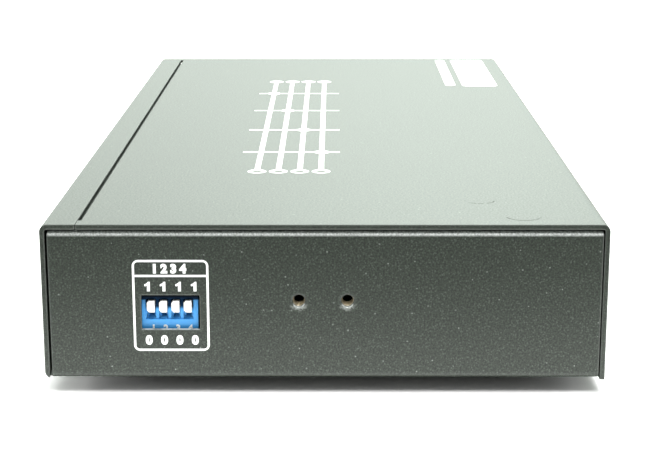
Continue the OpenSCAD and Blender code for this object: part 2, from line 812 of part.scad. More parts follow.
// Moulded insert inside the serial connector's shell, with its nine contact holes
module serial_insert() color(black_colour) placed()
    translate([serial_share * case_l, 0, serial_z()]) difference() {
        face_y = rear_y + jackscrew_out - slip;
        along_y(rear_in_y - serial_flange_t, face_y - rear_in_y + serial_flange_t)
            serial_outline(-serial_wall - slip);
        for (row = [0, 1], i = [0:4 - row])
            round_y((i - (4 - row) / 2) * serial_pin_pitch, face_y - serial_hole_l,
                    (0.5 - row) * serial_row, serial_hole_d, serial_hole_l + over);
    }

// Moulded body behind the serial connector's flange, standing on the board
module serial_body() color(black_colour) placed()
    translate([serial_share * case_l, 0, serial_z()]) difference() {
        along_y(rear_in_y - serial_flange_t - serial_body_l, serial_body_l)
            translate([0, -serial_lift / 2])
                square([serial_flange_w, serial_flange_h + serial_lift], center = true);
        for (s = [-1, 1])
            round_y(s * jackscrew_pitch / 2, rear_in_y - serial_flange_t - serial_body_l / 2, 0,
                    screw_hole_d, serial_body_l / 2 + over);
    }

// Hexagonal jackscrews that hold the serial connector to the rear wall
module serial_jackscrews() color(steel_colour) placed()
    for (s = [-1, 1])
        translate([serial_share * case_l + s * jackscrew_pitch / 2, rear_y, serial_z()])
            rotate([-90, 0, 0]) difference() {
                union() {
                    cylinder(d = hex_d, h = jackscrew_out, $fn = 6);
                    translate([0, 0, -sheet_t - serial_flange_t - serial_body_l / 3])
                        cylinder(d = jackscrew_stud_d, h = sheet_t + serial_flange_t
                                 + serial_body_l / 3 + jackscrew_out - jackscrew_hole_l);
                }
                translate([0, 0, jackscrew_out - jackscrew_hole_l])
                    cylinder(d = jackscrew_hole_d, h = jackscrew_hole_l + over);
            }

// The main chip, and the finned heatsink that is bonded to it
module at_chip() {
    translate([chip_x_share * case_l, chip_y_share * case_w, board_top]) children();
}
module matrix_chip() color(black_colour) placed() at_chip()
    block([-chip_w / 2, chip_w / 2], [-chip_w / 2, chip_w / 2], [0, chip_t]);
module heatsink() color(steel_colour) placed() at_chip() translate([0, 0, chip_t]) {
    fin_pitch = (sink_w - fin_t) / (fin_count - 1);
    block([-sink_w / 2, sink_w / 2], [-sink_w / 2, sink_w / 2], [0, sink_base]);
    for (i = [0:fin_count - 1])
        block([i * fin_pitch - sink_w / 2, i * fin_pitch - sink_w / 2 + fin_t],
              [-sink_w / 2, sink_w / 2], [0, sink_h]);
}

// One buffer chip behind each video socket
module buffer_chips() color(black_colour) placed()
    for (s = concat(output_share, input_share))
        block([s * case_l - buffer_w / 2, s * case_l + buffer_w / 2],
              [rear_y - socket_l - buffer_back - buffer_w / 2,
               rear_y - socket_l - buffer_back + buffer_w / 2],
              [board_top, board_top + buffer_t]);

// Storage capacitors beside the power jack, with a rolled groove near the foot
module capacitors() color(steel_colour) placed()
    for (s = can_x_share)
        translate([s * case_l, can_y_share * case_w, board_top]) rotate_extrude() difference() {
            union() {
                square([can_d / 2, can_h - can_round]);
                square([can_d / 2 - can_round, can_h]);
                translate([can_d / 2 - can_round, can_h - can_round]) circle(can_round);
            }
            translate([can_d / 2, can_groove_z]) circle(can_groove);
        }

base_tray();
top_cover();
cover_screws();
foot_front_left();
foot_front_right();
foot_rear_left();
foot_rear_right();
board_pillars();
board_screws();
main_board();
front_board();
end_board();
board_headers();
dip_housing();
dip_pins();
dip_slider_1();
dip_slider_2();
dip_slider_3();
dip_slider_4();
power_button();
select_button_a();
select_button_b();
select_button_c();
select_button_d();
push_switches();
power_lamp();
lamp_row_a();
lamp_row_b();
lamp_row_c();
lamp_row_d();
lamp_spacers();
receiver_window();
remote_receiver();
input_socket_1();
input_socket_2();
input_socket_3();
input_socket_4();
input_tongues();
output_socket_a();
output_socket_b();
output_socket_c();
output_socket_d();
output_tongues();
power_jack_housing();
power_jack_pin();
audio_jack_housing();
serial_shell();
serial_insert();
serial_body();
serial_jackscrews();
matrix_chip();
heatsink();
buffer_chips();
capacitors();
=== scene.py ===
# %% [markdown]
# # A video matrix switch in a folded metal box
# The real object is a flat box 240 mm long, folded from two painted steel sheets. One sheet is the floor, the front
# wall and the end walls. The other is the top and the rear wall. The shapes of all its rigid parts come from the
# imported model, so this lesson is about what a draughtsman's model lacks: the finishes, the white print, the small
# threads and contacts, and the light.
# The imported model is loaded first, because every later piece takes its place from the boxes of the model's parts.

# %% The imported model
import math

import bmesh
import bpy
from mathutils import Matrix, Vector


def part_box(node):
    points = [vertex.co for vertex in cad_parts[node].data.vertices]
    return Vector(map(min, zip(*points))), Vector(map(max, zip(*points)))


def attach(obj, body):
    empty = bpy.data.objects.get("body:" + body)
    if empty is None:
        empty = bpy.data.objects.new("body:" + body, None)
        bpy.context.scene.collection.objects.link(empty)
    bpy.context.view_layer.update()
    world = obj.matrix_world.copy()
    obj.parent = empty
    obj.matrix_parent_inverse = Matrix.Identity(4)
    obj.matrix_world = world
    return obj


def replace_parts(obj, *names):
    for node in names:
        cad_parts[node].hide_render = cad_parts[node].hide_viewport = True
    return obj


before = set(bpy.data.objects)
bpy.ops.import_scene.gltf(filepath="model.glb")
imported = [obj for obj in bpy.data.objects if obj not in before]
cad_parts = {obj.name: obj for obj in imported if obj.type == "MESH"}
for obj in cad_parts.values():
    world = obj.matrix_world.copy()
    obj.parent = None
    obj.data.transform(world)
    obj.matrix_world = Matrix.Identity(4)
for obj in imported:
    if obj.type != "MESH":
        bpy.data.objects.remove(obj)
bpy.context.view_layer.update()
MM = 0.001
HOUSING = "housing"
print("parts in the packed model:", len(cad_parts))

# %% [markdown]
# ## The planes that carry print and small pieces
# Print lies on a flat face, so it is easiest to draw in that face's own two directions. A plane here is a small
# function: it takes a place along the face, a place up the face and a height out of the face, all in millimetres,
# and gives the point in the room. The directions are chosen so that the drawing reads the right way round from
# outside, and so that the height always points out of the metal.

# %% Planes
def plane(origin, along, up):
    origin, along, up = Vector(origin), Vector(along), Vector(up)
    outward = along.cross(up)
    return lambda a, b, out: origin + (along * a + up * b + outward * out) * MM


tray_low, tray_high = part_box("base_tray")
cover_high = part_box("top_cover")[1]
switch_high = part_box("dip_housing")[1]
X, Y, Z = (1, 0, 0), (0, 1, 0), (0, 0, 1)
BACKWARD_X = (-1, 0, 0)
end_face = plane((tray_high.x, 0, 0), Y, Z)
top_face = plane((0, 0, cover_high.z), X, Y)
front_face = plane((0, tray_low.y, 0), X, Z)
rear_face = plane((0, cover_high.y, 0), BACKWARD_X, Z)
switch_face = plane((switch_high.x, 0, 0), Y, Z)
print("end wall at x =", round(tray_high.x / MM, 2), "mm, top at z =", round(cover_high.z / MM, 2), "mm")

# %% [markdown]
# ## Building blocks in mesh code
# Ink, labels, contacts and screws are all closed meshes. Three ways of making them cover everything here: a flat
# outline pulled to a thickness, two outlines that make a frame with a hole, and a profile turned about an axis.
# Outlines with a hole are joined point by point, so that no face has to be cut afterwards. Every piece is cleaned,
# gets its normals turned outwards, and then rides on the body that carries it.

# %% Outlines
def rounded_rectangle(width, height, radius, steps=6, centre=(0, 0)):
    points = []
    for turn, (sx, sy) in enumerate([(1, 1), (-1, 1), (-1, -1), (1, -1)]):
        for step in range(steps + 1):
            angle = math.pi / 2 * (turn + step / steps)
            points.append((centre[0] + sx * (width / 2 - radius) + radius * math.cos(angle),
                           centre[1] + sy * (height / 2 - radius) + radius * math.sin(angle)))
    return points


def oval(width, height, steps=40, squareness=1.0, centre=(0, 0)):
    points = []
    for step in range(steps):
        angle = 2 * math.pi * step / steps
        c, s = math.cos(angle), math.sin(angle)
        points.append((centre[0] + width / 2 * math.copysign(abs(c) ** squareness, c),
                       centre[1] + height / 2 * math.copysign(abs(s) ** squareness, s)))
    return points


def filleted(corners, radius, steps=5):
    points = []
    for i, corner in enumerate(corners):
        here = Vector(corner)
        before = (Vector(corners[i - 1]) - here).normalized()
        after = (Vector(corners[(i + 1) % len(corners)]) - here).normalized()
        half = before.angle(after) / 2
        centre = here + (before + after).normalized() * radius / math.sin(half)
        start = here + before * radius / math.tan(half) - centre
        end = here + after * radius / math.tan(half) - centre
        sweep = start.angle_signed(end)
        for step in range(steps + 1):
            points.append(tuple(centre + Matrix.Rotation(-sweep * step / steps, 2) @ start))
    return points


print("a rounded rectangle has", len(rounded_rectangle(10, 10, 1)), "points")

# %% Solids from outlines and profiles
ON_AXIS = 1e-6
WELD = 1e-7
SHARP_ANGLE = math.radians(32)


def bridge(mesh, rings, closed=False):
    """Faces between rings of equal count, and back to the first ring if the rings close"""
    for first, second in zip(rings, rings[1:] + rings[:1] if closed else rings[1:]):
        for i in range(len(first)):
            j = (i + 1) % len(first)
            mesh.faces.new([first[i], first[j], second[j], second[i]])


def close_between(mesh, rings):
    """A solid between two rings of points, closed at both ends"""
    mesh.faces.new(rings[0][::-1])
    mesh.faces.new(rings[1])
    bridge(mesh, rings)


def pull(mesh, place, outline, low, high):
    """A flat outline pulled from one height to another"""
    close_between(mesh, [[mesh.verts.new(place(a, b, h)) for a, b in outline] for h in (low, high)])


def pull_frame(mesh, place, outer, inner, low, high):
    """A frame between two outlines of equal count"""
    rings = [[mesh.verts.new(place(a, b, h)) for a, b in outline]
             for outline, h in ((inner, low), (outer, low), (outer, high), (inner, high))]
    bridge(mesh, rings, closed=True)


def turn(mesh, place, centre, profile, steps=32):
    """A closed profile of (radius, height) turned about the plane's outward direction"""
    rings = []
    for radius, height in profile:
        if radius < ON_AXIS:
            rings.append([mesh.verts.new(place(*centre, height))])
        else:
            rings.append([mesh.verts.new(place(
                centre[0] + radius * math.cos(2 * math.pi * i / steps),
                centre[1] + radius * math.sin(2 * math.pi * i / steps), height))
                for i in range(steps)])
    solid = len(rings[0]) == 1
    for first, second in zip(rings, rings[1:] if solid else rings[1:] + rings[:1]):
        for i in range(steps):
            j = (i + 1) % steps
            corners = [first[i % len(first)], first[j % len(first)],
                       second[j % len(second)], second[i % len(second)]]
            mesh.faces.new(list(dict.fromkeys(corners)))


def drawn_mesh(mesh, name):
    data = bpy.data.meshes.new(name)
    mesh.to_mesh(data)
    mesh.free()
    return data


def piece(name, draw, material, smooth=False, body=HOUSING):
    """Runs the drawing function on an empty mesh and makes a finished piece of it"""
    mesh = bmesh.new()
    draw(mesh)
    bmesh.ops.remove_doubles(mesh, verts=mesh.verts, dist=WELD)
    bmesh.ops.recalc_face_normals(mesh, faces=mesh.faces)
    data = drawn_mesh(mesh, name)
    made = bpy.data.objects.new(name, data)
    bpy.context.scene.collection.objects.link(made)
    data.materials.append(material)
    if smooth:
        data.shade_smooth()
        data.set_sharp_from_angle(angle=SHARP_ANGLE)
    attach(made, body)
    print(f"{name}: {len(data.polygons)} faces")
    return made


print("three ways of making a closed mesh are ready")

# %% [markdown]
# ## A helper for finishes
# Each finish is a small network of nodes around one Principled shader. Every finish here is painted in the object's
# own coordinates, in metres, so its grain has a true size and stays on the part when the part moves. Writing
# a network by hand is long, so this helper adds a node, sets its plain values and joins its linked inputs in one
# line. Values that are the same all over the surface are set on the shader itself.

# %% The helper
class Finish:
    def __init__(self, name, **values):
        self.material = bpy.data.materials.new(name)
        self.material.use_nodes = True
        self.tree = self.material.node_tree
        self.tree.nodes.clear()
        output = self.tree.nodes.new("ShaderNodeOutputMaterial")
        self.shader = self.tree.nodes.new("ShaderNodeBsdfPrincipled")
        self.tree.links.new(self.shader.outputs[0], output.inputs["Surface"])
        self.place = self.add("ShaderNodeTexCoord").outputs["Object"]
        self.set(**values)

    def add(self, kind, inputs=None, **settings):
        node = self.tree.nodes.new(kind)
        for key, value in settings.items():
            setattr(node, key, value)
        for key, value in (inputs or {}).items():
            self.put(node.inputs[key], value)
        return node

    def put(self, socket, value):
        if isinstance(value, bpy.types.NodeSocket):
            self.tree.links.new(value, socket)
        elif socket.type == "RGBA" and len(value) == 3:
            socket.default_value = (*value, 1)
        else:
            socket.default_value = value

    def set(self, **values):
        for key, value in values.items():
            self.put(self.shader.inputs[key.replace("_", " ")], value)

    def math(self, operation, first, second=0.0, clamp=False):
        node = self.add("ShaderNodeMath", {0: first, 1: second}, operation=operation)
        node.use_clamp = clamp
        return node.outputs[0]

    def product(self, first, *others):
        for other in others:
            first = self.math("MULTIPLY", first, other)
        return first

    def off(self, value, middle):
        """How far a coordinate is from a place in millimetres"""
        return self.math("ABSOLUTE", self.math("SUBTRACT", value, middle * MM))

    def diagonal(self, a, b):
        """The length of the diagonal over two distances"""
        return self.math("SQRT", self.math("ADD", self.math("MULTIPLY", a, a), self.math("MULTIPLY", b, b)))

    def split(self, vector):
        return self.add("ShaderNodeSeparateXYZ", {0: vector}).outputs

    def lean(self):
        """The x, y and z of the direction in which the face looks"""
        return self.split(self.add("ShaderNodeTexCoord").outputs["Normal"])

    def noise(self, scale, detail=2.0, roughness=0.5, stretch=None):
        place = self.place
        if stretch:
            place = self.add("ShaderNodeMapping", {"Vector": place, "Scale": stretch}).outputs[0]
        return self.add("ShaderNodeTexNoise", {"Vector": place, "Scale": scale, "Detail": detail,
                                               "Roughness": roughness}).outputs[0]

    def span(self, value, low, high, to_low=0.0, to_high=1.0):
        return self.add("ShaderNodeMapRange", {"Value": value, "From Min": low, "From Max": high,
                                               "To Min": to_low, "To Max": to_high}).outputs[0]

    def mix(self, share, first, second):
        node = self.add("ShaderNodeMix", data_type="RGBA")
        for key, value in ((0, share), (6, first), (7, second)):
            self.put(node.inputs[key], value)
        return node.outputs[2]

    def bump(self, height, strength, distance, normal=None):
        inputs = {"Height": height, "Strength": strength, "Distance": distance}
        if normal is not None:
            inputs["Normal"] = normal
        return self.add("ShaderNodeBump", inputs).outputs[0]

    def soft_edge(self, radius, samples=4):
        return self.add("ShaderNodeBevel", {"Radius": radius}, samples=samples).outputs[0]


print("a finish is one Principled shader with the helper's nodes in front of it")

# %% [markdown]
# ## The paint: fine-textured powder coat
# The box is powder coated: charged powder is blown on and baked, and it flows out into tiny bumps less than half
# a millimetre across on a slower orange-peel wave. The real coat is near black, a little green, with lighter tips
# and a few bright grains. It could be one noise map on the colour, but then it would look printed. Here the same
# fine noise drives colour, roughness and height together, so that the tips are lighter because they are tips. The
# bright grains are scattered: a cell pattern holds one in only some of its cells. The coat thins over sharp edges,
# so a bevel reading finds the edges and lightens them. A painted highlight lies on the fold over each end wall, on
# the lower rims of the screw holes and on the upward cut edge under the switch's window. The cover also
# carries two curved scuffs, which are drawn into its paint as thin rings of which only part shows.

# %% Powder coat
GRAIN_SCALE = 2500
PEEL_SCALE = 560
SPARKLE_SCALE = 640
SPECK_SCALE = 2200
WALL_GRAIN = (0.85, 0.92, 0.86)
TOP_GRAIN = (0.13, 0.14, 0.13)
EAR_Y = [-7.2, 2.8]
EAR_Z = 20.3
WINDOW_Y, WINDOW_REACH = -33.55, 6.3
WINDOW_FOOT, WINDOW_TOP = 14.15, 21.55
SILL_REACH = 0.3


def arc_mark(finish, centre, radius, width, from_x):
    """A share between 0 and 1 that is high along part of a circle on the top face"""
    axes = finish.split(finish.place)
    dx = finish.math("SUBTRACT", axes[0], centre[0] * MM)
    dy = finish.math("SUBTRACT", axes[1], centre[1] * MM)
    off = finish.off(finish.diagonal(dx, dy), radius)
    line = finish.span(off, 0.2 * width * MM, width * MM, 1.0, 0.0)
    part = finish.span(dx, (from_x - 0.5) * MM, (from_x + 0.5) * MM)
    broken = finish.span(finish.noise(900, 1.0), 0.38, 0.52)
    return finish.product(line, part, broken)


def bright_grains(finish, scale, share, radius):
    """Scattered round grains: a cell pattern in which only some cells hold one"""
    cells = finish.add("ShaderNodeTexVoronoi", {"Vector": finish.place, "Scale": scale})
    chance = finish.add("ShaderNodeSeparateColor", {0: cells.outputs["Color"]}).outputs[0]
    some = finish.span(chance, 1 - share, 1.0)
    spot = finish.span(cells.outputs["Distance"], 0.4 * radius, radius, 1.0, 0.0)
    return finish.math("MULTIPLY", some, spot)


def rubbed_fold(finish):
    """A painted highlight, high where the face leans between an end wall and the top, as on the fold over each end"""
    lean = finish.lean()
    outward = finish.span(finish.math("ABSOLUTE", lean[0]), 0.08, 0.30)
    upward = finish.span(lean[2], 0.30, 0.62)
    broken = finish.span(finish.noise(2400, 1.0), 0.30, 0.66, 0.45, 1.0)
    return finish.product(outward, upward, broken)


def rubbed_rim(finish, centres):
    """A painted highlight, high on the lower rim of each screw hole in an end wall"""
    axes = finish.split(finish.place)
    down = finish.math("SUBTRACT", EAR_Z * MM, axes[2])
    total = 0.0
    for centre in centres:
        across = finish.math("SUBTRACT", axes[1], centre * MM)
        near = finish.span(finish.diagonal(across, down), 1.5 * MM, 2.3 * MM, 1.0, 0.0)
        total = finish.math("ADD", total, near)
    lower = finish.span(down, 0.5 * MM, 1.4 * MM)
    broken = finish.span(finish.noise(1500, 2.0), 0.38, 0.60)
    return finish.math("MULTIPLY", finish.math("MULTIPLY", total, lower, clamp=True), broken)


def bare_sill(finish):
    """A painted highlight, high on the upward-facing lower cut edge of the switch's window"""
    axes = finish.split(finish.place)
    in_window = finish.math("LESS_THAN", finish.off(axes[1], WINDOW_Y), WINDOW_REACH * MM)
    at_foot = finish.math("LESS_THAN", finish.off(axes[2], WINDOW_FOOT), SILL_REACH * MM)
    faces_up = finish.math("GREATER_THAN", finish.lean()[2], 0.7)
    broken = finish.span(finish.noise(700, 1.0), 0.34, 0.54, 0.3, 1.0)
    return finish.product(in_window, at_foot, faces_up, broken)


def powder_coat(name, scuffs=(), rims=(), grain_tone=WALL_GRAIN):
    finish = Finish(name)
    grain = finish.noise(GRAIN_SCALE, 3.0, 0.62)
    peel = finish.noise(PEEL_SCALE, 1.0)
    sparkle = bright_grains(finish, SPARKLE_SCALE, 0.09, 0.20)
    specks = bright_grains(finish, SPECK_SCALE, 0.70, 0.50)
    rounded = finish.soft_edge(0.0005)
    flat = finish.add("ShaderNodeNewGeometry").outputs["Normal"]
    turned = finish.add("ShaderNodeVectorMath", {0: rounded, 1: flat}, operation="DOT_PRODUCT")
    worn = finish.span(turned.outputs["Value"], 0.995, 0.88, 0.0, 0.55)
    tips = finish.span(grain, 0.40, 0.66)
    colour = finish.mix(tips, (0.001, 0.004, 0.001), (0.023, 0.033, 0.022))
    colour = finish.mix(finish.math("MULTIPLY", specks, 0.42), colour, (0.083, 0.099, 0.082))
    colour = finish.mix(worn, colour, (0.15, 0.165, 0.15))
    # A painted highlight along the fold over each end wall
    colour = finish.mix(rubbed_fold(finish), colour, (0.70, 0.74, 0.71))
    roughness = finish.span(grain, 0.3, 0.7, 0.52, 0.44)
    if rims:
        # A painted highlight on the lower rims of the screw holes
        colour = finish.mix(rubbed_rim(finish, rims), colour, (0.27, 0.29, 0.27))
        # A painted highlight on the upward-facing cut edge under the switch's window
        colour = finish.mix(bare_sill(finish), colour, (0.50, 0.53, 0.50))
    for scuff in scuffs:
        mark = arc_mark(finish, *scuff)
        colour = finish.mix(mark, colour, (0.008, 0.009, 0.008))
        roughness = finish.math("ADD", roughness, finish.math("MULTIPLY", mark, 0.5), clamp=True)
    tone = finish.mix(finish.span(finish.lean()[2], 0.5, 0.9), grain_tone, TOP_GRAIN)
    colour = finish.mix(sparkle, colour, tone)
    height = finish.bump(peel, 0.08, 0.00008, finish.bump(grain, 0.16, 0.00010, rounded))
    finish.set(Base_Color=colour, Roughness=roughness, Metallic=finish.math("MULTIPLY", sparkle, 0.5),
               Normal=height, IOR=1.45)
    return finish.material


tray_paint = powder_coat("powder_coat_tray", rims=EAR_Y)
cover_paint = powder_coat("powder_coat_cover", scuffs=[((97.8, 31.4), 3.2, 0.20, 0.6),
                                                       ((112.6, 39.2), 3.6, 0.20, 0.9)],
                          grain_tone=TOP_GRAIN)
print("grains about", round(1000 / GRAIN_SCALE, 2), "mm, peel about", round(1000 / PEEL_SCALE, 2), "mm")

# %% [markdown]
# ## Print, paper and plastics
# The white print is screen-printed ink: it is thin enough to take the coat's grain, so it gets a trace of the same
# bumps. The label is smooth paper. The slide switch is a moulded block with a soft shine, and its sliders are
# a clean white. Moulded plastic is never one flat colour either: a slow noise shifts it a little and
# a fine one roughens it, as a spark-eroded mould does. The switch lies behind its window, and in the photograph the
# window's upper edge shades it. The lamps here are too wide to cast that shade, so it is laid into the blue: down
# to the sliders' tops on the rim, and lower in the recess between them.

# %% Ink, paper, plastic and rubber
SWITCH_Y, RECESS_HALF = WINDOW_Y - 0.35, 4.93
RIM_SHADE, RECESS_SHADE = WINDOW_TOP - 1.4, WINDOW_TOP - 3.1
SLOT_DEPTH = 0.9


def print_ink():
    finish = Finish("screen_print_ink")
    grain = finish.noise(GRAIN_SCALE, 2.0, 0.55)
    tone = finish.mix(finish.span(grain, 0.25, 0.5), (0.74, 0.77, 0.74), (0.90, 0.92, 0.90))
    finish.set(Base_Color=tone, Roughness=finish.span(grain, 0.3, 0.7, 0.62, 0.5),
               Normal=finish.bump(grain, 0.25, 0.00006))
    return finish.material


def paper():
    finish = Finish("label_paper")
    fibre = finish.noise(700, 3.0, 0.6, stretch=(1, 3, 1))
    tone = finish.mix(fibre, (0.86, 0.87, 0.85), (0.93, 0.93, 0.92))
    finish.set(Base_Color=tone, Roughness=finish.span(fibre, 0.3, 0.7, 0.42, 0.32),
               Normal=finish.bump(fibre, 0.08, 0.00003))
    return finish.material


def moulded(name, dark, light, roughness, grain_scale=3200, bump=0.12, edge=0.0002, **values):
    finish = Finish(name)
    slow = finish.noise(160, 2.0)
    fine = finish.noise(grain_scale, 1.0)
    rounded = finish.soft_edge(edge)
    finish.set(Base_Color=finish.mix(finish.span(slow, 0.3, 0.7), dark, light),
               Roughness=finish.span(fine, 0.3, 0.7, roughness - 0.06, roughness + 0.06),
               Normal=finish.bump(fine, bump, 0.00004, rounded), **values)
    return finish.material


def switch_plastic():
    """The switch's blue, with the shade of the window's upper edge laid into it and painted light on the slot floors
    """
    finish = Finish("switch_blue_plastic")
    slow = finish.span(finish.noise(160, 2.0), 0.3, 0.7)
    fine = finish.span(finish.noise(3200, 1.0), 0.3, 0.7)
    axes = finish.split(finish.place)
    height = axes[2]
    rim = finish.span(height, (RIM_SHADE - 0.12) * MM, (RIM_SHADE + 0.12) * MM)
    in_recess = finish.math("LESS_THAN", finish.off(axes[1], SWITCH_Y), RECESS_HALF * MM)
    upper = finish.span(height, (RECESS_SHADE - 0.35) * MM, (RECESS_SHADE + 0.25) * MM)
    shade = finish.math("MAXIMUM", rim, finish.product(in_recess, upper))
    colour = finish.mix(slow, (0.040, 0.29, 0.68), (0.048, 0.33, 0.74))
    # Painted light: the floors of the slots are made a lighter blue against their shade
    painted_light_slot_floor = finish.math("LESS_THAN", axes[0], switch_high.x - SLOT_DEPTH * MM)
    colour = finish.mix(painted_light_slot_floor, colour, (0.20, 0.60, 0.95))
    deep = finish.mix(finish.span(height, RIM_SHADE * MM, (WINDOW_TOP - 0.6) * MM),
                      (0.002, 0.022, 0.065), (0.001, 0.003, 0.006))
    finish.set(Base_Color=finish.mix(shade, colour, deep),
               Specular_IOR_Level=finish.span(shade, 0.0, 1.0, 0.5, 0.05),
               Roughness=finish.span(fine, 0.0, 1.0, 0.30, 0.42),
               Normal=finish.bump(fine, 0.12, 0.00004, finish.soft_edge(0.0002)))
    return finish.material


ink = print_ink()
label_paper = paper()
switch_blue = switch_plastic()
slider_white = moulded("slider_white_plastic", (0.80, 0.81, 0.79), (0.88, 0.88, 0.86), 0.38)
black_plastic = moulded("black_moulded_plastic", (0.014, 0.014, 0.015), (0.026, 0.026, 0.028), 0.46)
button_black = moulded("button_black_plastic", (0.016, 0.016, 0.017), (0.030, 0.030, 0.031), 0.34,
                       bump=0.05, edge=0.0003)
rubber = moulded("foot_rubber", (0.012, 0.012, 0.012), (0.024, 0.024, 0.024), 0.78,
                 grain_scale=1800, bump=0.35, edge=0.0004)
lamp_clear = moulded("lamp_clear_lens", (0.78, 0.84, 0.80), (0.84, 0.88, 0.85), 0.09, bump=0.02,
                     Transmission_Weight=0.75, IOR=1.5)
window_red = moulded("receiver_dark_red", (0.040, 0.003, 0.005), (0.060, 0.005, 0.008), 0.10,
                     bump=0.02, Coat_Weight=0.6, Coat_Roughness=0.04)
print("plastic finishes:", switch_blue.name, slider_white.name, black_plastic.name, rubber.name)

# %% [markdown]
# ## Metals and boards
# Sockets and pins are plated steel, the screws black zinc, the threads in the ear holes yellow zinc, the heatsink
# and the capacitors plain aluminium, and the contacts gold-coloured. Rolled sheet has faint lines along its length,
# so its noise is stretched. The circuit boards sit inside the closed box. They still get solder resist with tracks,
# because the model may be opened.

# %% Metals and boards
def metal(name, dark, light, roughness, stretch=(1, 12, 12), scale=500, bump=0.10):
    finish = Finish(name, Metallic=1.0)
    lines = finish.noise(scale, 3.0, 0.6, stretch=stretch)
    stains = finish.noise(240, 2.0)
    rounded = finish.soft_edge(0.00015)
    tone = finish.mix(finish.span(stains, 0.3, 0.75), light, dark)
    finish.set(Base_Color=tone, Roughness=finish.span(lines, 0.3, 0.7, roughness - 0.08, roughness + 0.1),
               Normal=finish.bump(lines, bump, 0.00003, rounded))
    return finish.material


def solder_resist():
    finish = Finish("board_green_resist", Coat_Weight=0.4, Coat_Roughness=0.12)
    tracks = finish.add("ShaderNodeTexBrick", {
        "Vector": finish.place, "Scale": 90.0, "Mortar Size": 0.035, "Color1": (0.030, 0.17, 0.07),
        "Color2": (0.022, 0.14, 0.055), "Mortar": (0.05, 0.25, 0.10)})
    weave = finish.noise(1500, 1.0, stretch=(1, 4, 1))
    tone = finish.mix(finish.span(weave, 0.3, 0.7, 0.0, 0.35), tracks.outputs["Color"],
                      (0.015, 0.10, 0.04))
    finish.set(Base_Color=tone, Roughness=finish.span(weave, 0.3, 0.7, 0.28, 0.42),
               Normal=finish.bump(tracks.outputs["Fac"], 0.2, 0.00004, finish.soft_edge(0.0002)))
    return finish.material


plated_steel = metal("plated_steel", (0.52, 0.52, 0.52), (0.66, 0.66, 0.65), 0.30)
black_zinc = metal("black_zinc_plate", (0.030, 0.030, 0.032), (0.075, 0.075, 0.078), 0.38, bump=0.15)
aluminium = metal("plain_aluminium", (0.62, 0.63, 0.64), (0.78, 0.79, 0.80), 0.36, stretch=(12, 1, 12))
yellow_zinc = metal("yellow_zinc_plate", (0.60, 0.54, 0.43), (0.76, 0.70, 0.56), 0.34)
contact_gold = metal("contact_gold", (0.80, 0.58, 0.25), (0.92, 0.70, 0.34), 0.24, bump=0.05)
green_board = solder_resist()
print("metal finishes:", plated_steel.name, black_zinc.name, aluminium.name, contact_gold.name)

# %% [markdown]
# ## Finishes onto the model's own parts
# The shapes of these parts are right as they come, so they only need their materials. Each part in the imported model
# is listed by its finish once.

# %% Dress the model's parts
sockets = [f"input_socket_{n}" for n in (1, 2, 3, 4)] + [f"output_socket_{c}" for c in "abcd"]
buttons = ["power_button"] + [f"select_button_{c}" for c in "abcd"]
sliders = [f"dip_slider_{n}" for n in (1, 2, 3, 4)]
lamp_rows = [f"lamp_row_{c}" for c in "abcd"]
feet = [f"foot_{a}_{b}" for a in ("front", "rear") for b in ("left", "right")]
finishes = [
    (tray_paint, ["base_tray"]),
    (cover_paint, ["top_cover"]),
    (rubber, feet),
    (black_zinc, ["cover_screws", "board_screws"]),
    (plated_steel, ["board_pillars", "dip_pins", "serial_shell", "serial_jackscrews",
                    "power_jack_pin"] + sockets),
    (green_board, ["main_board", "front_board", "end_board"]),
    (switch_blue, ["dip_housing"]),
    (slider_white, sliders),
    (button_black, buttons),
    (black_plastic, ["board_headers", "push_switches", "lamp_spacers", "remote_receiver",
                     "input_tongues", "output_tongues", "power_jack_housing",
                     "audio_jack_housing", "serial_insert", "serial_body", "matrix_chip",
                     "buffer_chips"]),
    (lamp_clear, ["power_lamp"] + lamp_rows),
    (window_red, ["receiver_window"]),
    (aluminium, ["heatsink", "capacitors"]),
]
dressed = set()
for material, names in finishes:
    for name in names:
        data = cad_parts[name].data
        data.materials.clear()
        data.materials.append(material)
        data.polygons.foreach_set("material_index", [0] * len(data.polygons))
        dressed.add(name)
print("dressed", len(dressed), "of", len(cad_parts), "parts; left:",
      sorted(set(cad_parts) - dressed))

# %% [markdown]
# ## The print round the slide switch
# The end wall carries a white line frame with round corners, a line across it, and small bold numbers above
# and below the window. Ink has almost no thickness, but a mesh with none would fight with the wall behind it, so
# each mark is 0.05 mm thick and most of that lies in the wall. The ones and noughts are drawn from their own
# outlines, because a typeface's are too thin here.

# %% Numbers in ink
INK_LOW, INK_HIGH = -0.02, 0.03
ONE = [(0.26, 0.0), (0.56, 0.0), (0.56, 1.0), (0.38, 1.0), (0.29, 0.89), (0.15, 0.79), (0.0, 0.73),
       (0.0, 0.55), (0.10, 0.53), (0.26, 0.60)]


def draw_one(mesh, place, centre, height):
    outline = [(centre[0] + (a - 0.30) * height, centre[1] + (b - 0.5) * height) for a, b in ONE]
    pull(mesh, place, outline, INK_LOW, INK_HIGH)


def draw_nought(mesh, place, centre, width, height, stroke):
    pull_frame(mesh, place, oval(width, height, squareness=0.85, centre=centre),
               oval(width - 2 * stroke, height - 2 * stroke, squareness=0.9, centre=centre),
               INK_LOW, INK_HIGH)


